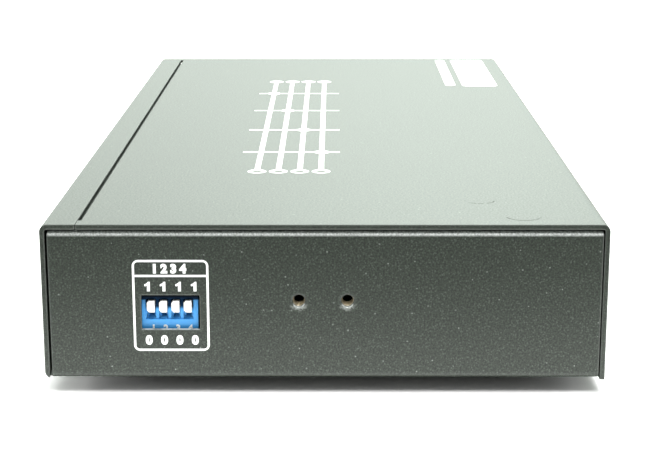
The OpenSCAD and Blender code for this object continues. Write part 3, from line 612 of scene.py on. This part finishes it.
def draw_words(mesh, place, words, centre, height, weight):
    """Words in Blender's own typeface, made heavier by weight, with closed sides"""
    curve = bpy.data.curves.new("words", "FONT")
    curve.body = words
    curve.align_x, curve.align_y = "CENTER", "CENTER"
    curve.extrude, curve.offset, curve.resolution_u = 0.5, weight, 3
    holder = bpy.data.objects.new("words", curve)
    data = bpy.data.meshes.new_from_object(holder)
    tops = [v.co.y for v in data.vertices]
    scale, middle = height / (max(tops) - min(tops)), (max(tops) + min(tops)) / 2
    drawn = bmesh.new()
    drawn.from_mesh(data)
    bmesh.ops.remove_doubles(drawn, verts=drawn.verts, dist=1e-5)
    copies = {v: mesh.verts.new(place(centre[0] + v.co.x * scale,
                                      centre[1] + (v.co.y - middle) * scale,
                                      INK_LOW + (v.co.z + 0.5) * (INK_HIGH - INK_LOW)))
              for v in drawn.verts}
    for face in drawn.faces:
        mesh.faces.new([copies[v] for v in face.verts])
    drawn.free()
    bpy.data.objects.remove(holder)
    bpy.data.curves.remove(curve)
    bpy.data.meshes.remove(data)


ONE_HEIGHT = 2.04
print("a one is", round(0.56 * ONE_HEIGHT, 2), "mm wide at a height of", ONE_HEIGHT, "mm")

# %% The frame and its numbers
FRAME_Y, FRAME_Z = (-41.03, -25.85), (9.82, 28.82)
LINE = 0.46
HEADER_Z = 25.66
HEADER_MIDDLE = (-33.75, 27.2)
ONES_Y, ONES_Z = [-38.2 + 3.18 * k for k in range(4)], 23.40
NOUGHTS_Y, NOUGHTS_Z = [-38.1 + 3.17 * k for k in range(4)], 11.95
NOUGHT_W, NOUGHT_H, NOUGHT_STROKE = 1.42, 2.06, 0.58


def draw_switch_frame(mesh):
    width, height = FRAME_Y[1] - FRAME_Y[0], FRAME_Z[1] - FRAME_Z[0]
    middle = (sum(FRAME_Y) / 2, sum(FRAME_Z) / 2)
    pull_frame(mesh, end_face, rounded_rectangle(width + LINE, height + LINE, 1.3, centre=middle),
               rounded_rectangle(width - LINE, height - LINE, 0.75, centre=middle),
               INK_LOW, INK_HIGH)
    inner = (width - LINE) / 2 + 0.05
    header = [(middle[0] + sx * inner, HEADER_Z + sz * LINE / 2)
              for sx, sz in ((-1, -1), (1, -1), (1, 1), (-1, 1))]
    pull(mesh, end_face, header, INK_LOW + 0.005, INK_HIGH - 0.005)


def draw_switch_numbers(mesh):
    for y in ONES_Y:
        draw_one(mesh, end_face, (y, ONES_Z), ONE_HEIGHT)
    for y in NOUGHTS_Y:
        draw_nought(mesh, end_face, (y, NOUGHTS_Z), NOUGHT_W, NOUGHT_H, NOUGHT_STROKE)
    draw_words(mesh, end_face, "1 2 3 4", HEADER_MIDDLE, 2.1, weight=0.07)


piece("switch_frame_print", draw_switch_frame, ink)
piece("switch_number_print", draw_switch_numbers, ink)

# %% [markdown]
# The switch itself carries the numbers of its sliders below them. The window's lower edge hides all but their tops
# from the photograph's side, as on the real one.

# %% Numbers on the switch
slider_y = [sum((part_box(name)[i].y for i in (0, 1))) / 2 / MM for name in sliders]


def draw_slider_numbers(mesh):
    for number, y in enumerate(slider_y, 1):
        draw_words(mesh, switch_face, str(number), (y + 0.45, 14.1), 1.5, weight=0.05)


piece("slider_number_print", draw_slider_numbers, ink)

# %% [markdown]
# ## The print on the top
# The top carries white print about 150 mm long. A plain diagram stands there: four lines along the box cross
# four short lines, a dot marks where each pair is joined, and each line ends in a ring. It is what such a box does,
# drawn as any textbook draws it. Lines, dots and rings are the same flat prisms as before.

# %% The crossing lines
RAILS_Y = [-18.0, -13.0, -8.0, -3.0]
COLUMNS_X = [-45.0, -15.0, 15.0, 45.0]
RAIL_END = 66.0
COLUMN_END = 4.5


def bar(mesh, place, start, end, width, low=INK_LOW, high=INK_HIGH):
    start, end = Vector(start), Vector(end)
    side = (end - start).orthogonal().normalized() * width / 2
    pull(mesh, place, [start - side, end - side, end + side, start + side], low, high)


def draw_top_print(mesh):
    lift = 0.004
    for rail, y in enumerate(RAILS_Y):
        bar(mesh, top_face, (-RAIL_END, y), (RAIL_END, y), 1.3)
        for x in (-RAIL_END - 1.9, RAIL_END + 1.9):
            pull_frame(mesh, top_face, oval(4.4, 4.4, centre=(x, y)), oval(2.2, 2.2, centre=(x, y)),
                       INK_LOW, INK_HIGH - lift)
        pull(mesh, top_face, oval(4.0, 4.0, centre=(COLUMNS_X[rail], y)),
             INK_LOW - lift, INK_HIGH + lift)
    for x in COLUMNS_X:
        bar(mesh, top_face, (x, RAILS_Y[0] - COLUMN_END), (x, RAILS_Y[-1] + COLUMN_END), 1.3,
            INK_LOW + lift, INK_HIGH - lift / 2)


piece("top_diagram_print", draw_top_print, ink)

# %% [markdown]
# ## The label on the top
# The far corner carries a white label with a narrow strip beside it. Both are blank here. They are paper with
# round corners, pressed flat on the paint.

# %% Label and strip
def draw_labels(mesh):
    for (x0, x1), (y0, y1) in (((-116.5, -59.0), (39.9, 50.8)), ((-116.5, -60.0), (34.7, 37.9))):
        outline = rounded_rectangle(x1 - x0, y1 - y0, 1.6, centre=((x0 + x1) / 2, (y0 + y1) / 2))
        pull(mesh, top_face, outline, INK_LOW, INK_HIGH)


piece("blank_label", draw_labels, label_paper)

# %% [markdown]
# ## Numbers at the controls and sockets
# Plain numbers mark the lamps on the front and the sockets at the rear. They take their places from the
# parts they name, so nothing here is measured twice.

# %% Front and rear numbers
LAMP_W = 3.8


def middle_of(name):
    low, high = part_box(name)
    return (low + high) / 2 / MM


def lamps_x(row, count):
    """The place along the front of each lamp in a row"""
    low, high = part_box(row)
    span = (high.x - low.x) / MM - LAMP_W
    return [low.x / MM + LAMP_W / 2 + span * k / max(count - 1, 1) for k in range(count)]


def draw_front_numbers(mesh):
    for row in lamp_rows:
        for number, x in enumerate(lamps_x(row, 4), 1):
            draw_words(mesh, front_face, str(number), (x, middle_of(row).z + 4.6), 1.9, weight=0.02)
    for number, name in enumerate(buttons[1:], 1):
        draw_words(mesh, front_face, str(number), (middle_of(name).x, middle_of(name).z - 6.3), 2.2,
                   weight=0.03)
        ring = (middle_of(name).x, middle_of(name).z)
        pull_frame(mesh, front_face, oval(8.6, 8.6, centre=ring), oval(7.9, 7.9, centre=ring),
                   INK_LOW, INK_HIGH)


def draw_rear_numbers(mesh):
    for group in (sockets[:4], sockets[4:]):
        for number, name in enumerate(group, 1):
            place = middle_of(name)
            draw_words(mesh, rear_face, str(number), (-place.x, place.z + 6.6), 2.4, weight=0.03)
        xs = sorted(-middle_of(name).x for name in group)
        z = middle_of(group[0]).z
        middle = ((xs[0] + xs[-1]) / 2, z + 1.9)
        width, height = xs[-1] - xs[0] + 20.5, 17.5
        pull_frame(mesh, rear_face, rounded_rectangle(width, height, 1.3, centre=middle),
                   rounded_rectangle(width - 0.9, height - 0.9, 0.85, centre=middle),
                   INK_LOW, INK_HIGH)


piece("front_number_print", draw_front_numbers, ink)
piece("rear_number_print", draw_rear_numbers, ink)

# %% [markdown]
# ## The video sockets
# Each socket is a shell folded from thin plated steel. The mouth's edge is rounded by the punch, the corners are
# bends and not sharp, and two leaves above and two below press on the plug. The shell is lofted as one closed
# skin: the same outline, drawn a little larger or smaller, is carried along the depth, over the lip and back
# inside. The leaves are bent strips. The moulded tongue of the model carries gold contacts on both sides.

# %% Socket shells
SHELL_WALL = 0.3
SOCKET_W, SOCKET_H, SIDE_H, CHAMFER = 14.0, 4.55, 2.3, 1.95
LEAF_PATH = [(-8.2, 0.02), (-6.0, -0.10), (-4.2, -0.42), (-3.0, -0.58), (-2.2, -0.52), (-1.5, -0.30)]
LEAF_THICKNESS = 0.2
LEAVES = [(-3.3, 1, 2.4), (3.3, 1, 2.4), (-2.6, -1, 2.0), (2.6, -1, 2.0)]


def socket_outline(grow):
    w, h = SOCKET_W / 2 + grow, SOCKET_H / 2 + grow
    corners = [(-w, h), (-w, h - SIDE_H - grow), (CHAMFER - w, -h), (w - CHAMFER, -h),
               (w, h - SIDE_H - grow), (w, h)]
    return filleted(corners, 0.55 + grow)


def draw_leaf(mesh, place, across, side, width):
    upper = [(depth, side * (SOCKET_H / 2 + rise)) for depth, rise in LEAF_PATH]
    lower = [(depth, up - side * LEAF_THICKNESS) for depth, up in upper]
    close_between(mesh, [[mesh.verts.new(place(a, up, depth)) for depth, up in upper + lower[::-1]]
                         for a in (across - width / 2, across + width / 2)])


def mouth_of(name):
    """The plane of a rear connector's mouth, measured from its middle"""
    low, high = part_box(name)
    centre = (low + high) / 2
    return plane((centre.x, high.y, centre.z), BACKWARD_X, Z)


def make_shell(name):
    low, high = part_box(name)
    mouth = mouth_of(name)
    depth = (high.y - low.y) / MM
    stations = [(SHELL_WALL, -depth), (SHELL_WALL, -0.14), (0.26, -0.04), (0.15, 0.0), (0.04, -0.04),
                (0.0, -0.14), (0.0, -depth)]

    def draw(mesh):
        rings = [[mesh.verts.new(mouth(a, b, out)) for a, b in socket_outline(grow)]
                 for grow, out in stations]
        bridge(mesh, rings, closed=True)
        for across, side, width in LEAVES:
            draw_leaf(mesh, mouth, across, side, width)

    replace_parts(piece("shell_of_" + name, draw, plated_steel, smooth=True), name)


for name in sockets:
    make_shell(name)

# %% Gold contacts on the tongues
TONGUE_TOP, TONGUE_LOW = 1.0, 0.0


def draw_contacts(group):
    def draw(mesh):
        for name in group:
            face = mouth_of(name)
            for count, up, out in ((10, TONGUE_TOP, 1), (9, TONGUE_LOW, -1)):
                for k in range(count):
                    a = k - (count - 1) / 2
                    rows = [(a - 0.22, -8.6), (a + 0.22, -8.6), (a + 0.22, -1.5), (a - 0.22, -1.5)]
                    close_between(mesh, [[mesh.verts.new(face(x, up + out * h, depth))
                                          for x, depth in rows] for h in (-0.04, 0.04)])
    return draw


piece("input_contacts", draw_contacts(sockets[:4]), contact_gold)
piece("output_contacts", draw_contacts(sockets[4:]), contact_gold)

# %% [markdown]
# ## Screws, threads and small contacts
# The cover is held by three pan-head screws with a cross recess. The head is a turned profile, the thread a turned
# row of ridges, and the recess is cut by a boolean with two crossed wedges, as the punch does. The tapped holes
# in the end walls show their thread as well. It could be painted as lines, but light falls into these
# holes in the photograph, so they get real ridges.

# %% Cover screws
HEAD_R, HEAD_H, SHANK_R, SHANK_L = 2.8, 2.0, 1.1, 4.0


def thread_profile(radius, depth, pitch, start, end, out):
    points, height = [], start
    step = pitch if end > start else -pitch
    while (end - height) * step > 1e-6:
        points += [(radius, height), (radius + out * depth, height + step / 2)]
        height += step
    return points


def screw_mesh():
    mesh = bmesh.new()
    flat = plane((0, 0, 0), X, Y)
    dome = [(HEAD_R * math.sin(math.radians(angle)), 0.75 + (HEAD_H - 0.75) *
             math.cos(math.radians(angle))) for angle in range(0, 91, 15)]
    shank = thread_profile(SHANK_R - 0.12, 0.12, 0.5, 0.0, -SHANK_L, 1)
    turn(mesh, flat, (0, 0), dome + [(HEAD_R, 0.2), (HEAD_R - 0.15, 0.0)] + shank +
         [(SHANK_R - 0.3, -SHANK_L), (0.0, -SHANK_L)], steps=40)
    bmesh.ops.recalc_face_normals(mesh, faces=mesh.faces)
    return drawn_mesh(mesh, "screw")


def cross_cutter():
    mesh = bmesh.new()
    for angle in (0, 90):
        spin = Matrix.Rotation(math.radians(angle), 3, "Z")
        rings = []
        for length, width, height in ((0.55, 0.22, 0.85), (1.55, 0.36, HEAD_H + 0.4)):
            rings.append([mesh.verts.new(spin @ Vector((sx * length, sy * width, height)) * MM)
                          for sx, sy in ((-1, -1), (1, -1), (1, 1), (-1, 1))])
        close_between(mesh, rings)
    return drawn_mesh(mesh, "cross")


def cut_screw():
    screw = bpy.data.objects.new("screw", screw_mesh())
    cutter = bpy.data.objects.new("cross", cross_cutter())
    for helper in (screw, cutter):
        bpy.context.scene.collection.objects.link(helper)
    cut = screw.modifiers.new("recess", "BOOLEAN")
    cut.operation, cut.object, cut.solver = "DIFFERENCE", cutter, "EXACT"
    cut.use_self = True
    bpy.context.view_layer.update()
    shown = screw.evaluated_get(bpy.context.evaluated_depsgraph_get())
    data = bpy.data.meshes.new_from_object(shown)
    for helper in (screw, cutter):
        bpy.data.objects.remove(helper)
    return data


def draw_cover_screws(mesh):
    data = cut_screw()
    low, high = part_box("cover_screws")
    turn_out = Matrix.Rotation(math.radians(-90), 4, "X")
    places = [low.x + HEAD_R * MM, 4.8 * MM, high.x - HEAD_R * MM]
    for x in places:
        at = Matrix.Translation((x, cover_high.y, (low.z + high.z) / 2)) @ turn_out
        before = len(mesh.verts)
        mesh.from_mesh(data)
        mesh.verts.ensure_lookup_table()
        for vertex in mesh.verts[before:]:
            vertex.co = at @ vertex.co
    bpy.data.meshes.remove(data)


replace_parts(piece("cover_screws_cross_recess", draw_cover_screws, black_zinc,
                  smooth=True), "cover_screws")

# %% Threads in the ear holes
EAR_R = 1.25


def draw_ear_threads(mesh):
    for side in (1, -1):
        face = plane((side * tray_high.x, 0, 0), (0, side, 0), Z)
        for y in EAR_Y:
            ridges = thread_profile(EAR_R + 0.02, 0.17, 0.5, -0.9, -3.5, -1)
            wall = [(EAR_R + 0.06, ridges[-1][1]), (EAR_R + 0.06, ridges[0][1])]
            turn(mesh, face, (side * y, EAR_Z), ridges + wall, steps=40)


piece("ear_hole_threads", draw_ear_threads, yellow_zinc, smooth=True)

# %% [markdown]
# ## Contacts in the serial connector and jacks, and the lamps' cups
# Nine small gold sleeves stand in the holes of the serial connector, and a bent spring lies in each jack.
# Clear lamps show a bright cup inside, so each lens gets one, set in its own axis.

# %% Sleeves, springs and cups
SERIAL_PITCH, SERIAL_ROW = 2.77, 1.42
JACKS = [("power_jack_housing", 3.15, 7.5, 18.0), ("audio_jack_housing", 1.8, 7.0, 14.0)]


def draw_sleeves(mesh):
    face = mouth_of("serial_insert")
    for row, count in ((SERIAL_ROW, 5), (-SERIAL_ROW, 4)):
        for k in range(count):
            turn(mesh, face, ((k - (count - 1) / 2) * SERIAL_PITCH, row),
                 [(0.56, -0.7), (0.56, -5.0), (0.36, -5.0), (0.36, -0.8)], steps=20)


def draw_jack_springs(mesh):
    for name, radius, depth, bore_z in JACKS:
        face = plane((middle_of(name).x * MM, cover_high.y, bore_z * MM), BACKWARD_X, Z)
        rise = 0.22 * radius
        path = [(-depth, 0.0), (-depth * 0.75, rise * 0.6), (-depth * 0.5, rise),
                (-depth * 0.35, rise * 0.5), (-depth * 0.25, 0.0)]
        lower = [(out, -0.18) for out, _ in path]
        close_between(mesh, [[mesh.verts.new(face(a, up - radius, out)) for out, up in path + lower[::-1]]
                             for a in (-0.28 * radius, 0.28 * radius)])


def draw_lamp_cups(mesh):
    for row, count in [("power_lamp", 1)] + [(name, 4) for name in lamp_rows]:
        face = plane((0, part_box(row)[0].y, 0), X, Z)
        for x in lamps_x(row, count):
            turn(mesh, face, (x, middle_of(row).z),
                 [(0.0, -2.55), (0.32, -2.55), (0.62, -2.15), (0.72, -2.15), (0.72, -2.9), (0.0, -2.9)],
                 steps=20)


piece("serial_contact_sleeves", draw_sleeves, contact_gold, smooth=True)
piece("jack_springs", draw_jack_springs, plated_steel)
piece("lamp_cups", draw_lamp_cups, plated_steel, smooth=True)

# %% [markdown]
# ## The camera
# The photograph looks along the length of the box from its end, a little from above. A pinhole camera was fitted to
# the box's edges, and it is written here as a place, three small angles and a lens. The matrix is built
# from the looking direction, because that keeps the three angles plain.

# %% Camera
CAMERA_AT = Vector((0.43774, -0.000063, 0.1150))
PAN, TILT, ROLL = -0.0055, 0.2444, -0.0011
FOCAL_PIXELS, IMAGE_WIDTH, SENSOR = 1615.7, 650, 36.0

forward = Vector((-math.cos(PAN) * math.cos(TILT), math.sin(PAN) * math.cos(TILT), -math.sin(TILT)))
level = Vector((math.sin(PAN), math.cos(PAN), 0))
upward = level.cross(forward)
right = math.cos(ROLL) * level + math.sin(ROLL) * upward
up = math.cos(ROLL) * upward - math.sin(ROLL) * level
camera_data = bpy.data.cameras.new("photograph_view")
camera_data.sensor_width = SENSOR
camera_data.sensor_fit = "HORIZONTAL"
camera_data.lens = FOCAL_PIXELS * SENSOR / IMAGE_WIDTH
camera_data.clip_start = 0.01
camera = bpy.data.objects.new("photograph_view", camera_data)
camera.matrix_world = Matrix((
    (right.x, up.x, -forward.x, CAMERA_AT.x),
    (right.y, up.y, -forward.y, CAMERA_AT.y),
    (right.z, up.z, -forward.z, CAMERA_AT.z),
    (0, 0, 0, 1)))
bpy.context.scene.collection.objects.link(camera)
bpy.context.scene.camera = camera
print("lens:", round(camera_data.lens, 1), "mm")

# %% [markdown]
# ## Floor and light
# The photograph was taken on a white ground that runs into a white backdrop. A wide pale floor stands for it. Its
# colour is lifted for the camera's own rays only, and away from the box it fades into plain white for them. So it
# shows white while the object gets plain light and the shadow stays. A large soft lamp hangs above, and a smaller
# key lamp in front of it casts the shadows at the small edges. A wide one stands low behind the box: from the
# photograph's shallow angle the top mirrors it, and that is why near-black paint looks pale grey there. A narrower
# one beside it, a little to the right, makes the top lighter from left to right, as it is in the photograph. Two
# lamps light the long sides, and a narrow card on the floor lightens the foot of the near end wall.

# %% Floor
FLOOR_TONE, FLOOR_TONE_SEEN = (0.45, 0.46, 0.44, 1), (1.30, 1.30, 1.29, 1)
FADE_START, FADE_END = 0.40, 0.80


def studio_floor():
    size = 30.0
    data = bpy.data.meshes.new("studio_floor")
    data.from_pydata([(-size, -size, 0), (size, -size, 0), (size, size, 0), (-size, size, 0)], [],
                     [(0, 1, 2, 3)])
    floor = bpy.data.objects.new("studio_floor", data)
    bpy.context.scene.collection.objects.link(floor)
    material = bpy.data.materials.new("studio_floor")
    material.use_nodes = True
    tree = material.node_tree
    tree.nodes.clear()
    paths = tree.nodes.new("ShaderNodeLightPath")
    tone = tree.nodes.new("ShaderNodeMix")
    tone.data_type = "RGBA"
    tone.inputs[6].default_value = FLOOR_TONE
    tone.inputs[7].default_value = FLOOR_TONE_SEEN
    matt = tree.nodes.new("ShaderNodeBsdfDiffuse")
    away = tree.nodes.new("ShaderNodeVectorMath")
    away.operation = "LENGTH"
    fade = tree.nodes.new("ShaderNodeMapRange")
    fade.inputs["From Min"].default_value = FADE_START
    fade.inputs["From Max"].default_value = FADE_END
    seen = tree.nodes.new("ShaderNodeMath")
    seen.operation = "MULTIPLY"
    backdrop = tree.nodes.new("ShaderNodeEmission")
    both = tree.nodes.new("ShaderNodeMixShader")
    output = tree.nodes.new("ShaderNodeOutputMaterial")
    place = tree.nodes.new("ShaderNodeNewGeometry").outputs["Position"]
    for start, end in ((place, away.inputs[0]), (away.outputs["Value"], fade.inputs["Value"]),
                       (fade.outputs[0], seen.inputs[0]),
                       (paths.outputs["Is Camera Ray"], seen.inputs[1]),
                       (paths.outputs["Is Camera Ray"], tone.inputs[0]),
                       (tone.outputs[2], matt.inputs["Color"]), (seen.outputs[0], both.inputs[0]),
                       (matt.outputs[0], both.inputs[1]), (backdrop.outputs[0], both.inputs[2]),
                       (both.outputs[0], output.inputs["Surface"])):
        tree.links.new(start, end)
    data.materials.append(material)


studio_floor()

# %% World and lamps
WHITE = (1, 1, 1)


def studio_world():
    world = bpy.data.worlds.new("studio")
    bpy.context.scene.world = world
    world.use_nodes = True
    tree = world.node_tree
    tree.nodes.clear()
    paths = tree.nodes.new("ShaderNodeLightPath")
    seen = paths.outputs["Is Camera Ray"]
    for name in ("Is Glossy Ray", "Is Transmission Ray"):
        either = tree.nodes.new("ShaderNodeMath")
        either.operation = "MAXIMUM"
        tree.links.new(seen, either.inputs[0])
        tree.links.new(paths.outputs[name], either.inputs[1])
        seen = either.outputs[0]
    strength = tree.nodes.new("ShaderNodeMapRange")
    strength.inputs["To Min"].default_value = 0.15
    strength.inputs["To Max"].default_value = 1.0
    tree.links.new(seen, strength.inputs["Value"])
    background = tree.nodes.new("ShaderNodeBackground")
    background.inputs["Color"].default_value = (1, 1, 1, 1)
    tree.links.new(strength.outputs[0], background.inputs["Strength"])
    output = tree.nodes.new("ShaderNodeOutputWorld")
    tree.links.new(background.outputs[0], output.inputs["Surface"])


LAMPS = [
    ("lamp_above", (0.12, 0.0, 1.0), (0.12, 0, 0), 0.8, 1.2, 2.4, WHITE),
    ("lamp_key", (0.55, 0.13, 0.87), (0.12, 0, 0.02), 0.40, 0.34, 15.0, WHITE),
    ("lamp_behind", (-0.80, 0.0, 0.46), (0, 0, 0.05), 2.0, 0.90, 2.8, (0.89, 1.0, 0.90)),
    ("lamp_behind_right", (-0.80, 0.10, 0.80), (0, 0, 0.05), 0.36, 0.60, 8.8, (0.88, 1.0, 0.90)),
    ("lamp_left", (0.06, -0.9, 0.27), (0.06, 0, 0.02), 1.0, 0.40, 4.5, WHITE),
    ("lamp_right", (0.06, 0.9, 0.27), (0.06, 0, 0.02), 1.0, 0.40, 2.2, WHITE),
    ("card_in_front", (0.142, 0.0, 0.001), (0.142, 0.0, 1.0), 0.045, 0.40, 3.0, WHITE),
]


def soft_lamp(name, at, towards, width, height, brightness, colour):
    """A soft rectangular lamp whose surface has the given brightness, where 1 is white"""
    data = bpy.data.lights.new(name, "AREA")
    data.shape = "RECTANGLE"
    data.size, data.size_y = width, height
    data.energy = brightness * math.pi * width * height
    data.color = colour
    lamp = bpy.data.objects.new(name, data)
    lamp.location = at
    lamp.rotation_euler = (Vector(towards) - Vector(at)).to_track_quat("-Z", "Y").to_euler()
    lamp.visible_camera = False
    bpy.context.scene.collection.objects.link(lamp)
    print(f"{name}: {width} by {height} m, {data.energy:.1f} W")


studio_world()
for lamp in LAMPS:
    soft_lamp(*lamp)

# %% [markdown]
# ## The last step
# The view transform is set to Standard, so that a colour on the part shows as it is written.

# %% Finish
bpy.context.scene.view_settings.view_transform = "Standard"
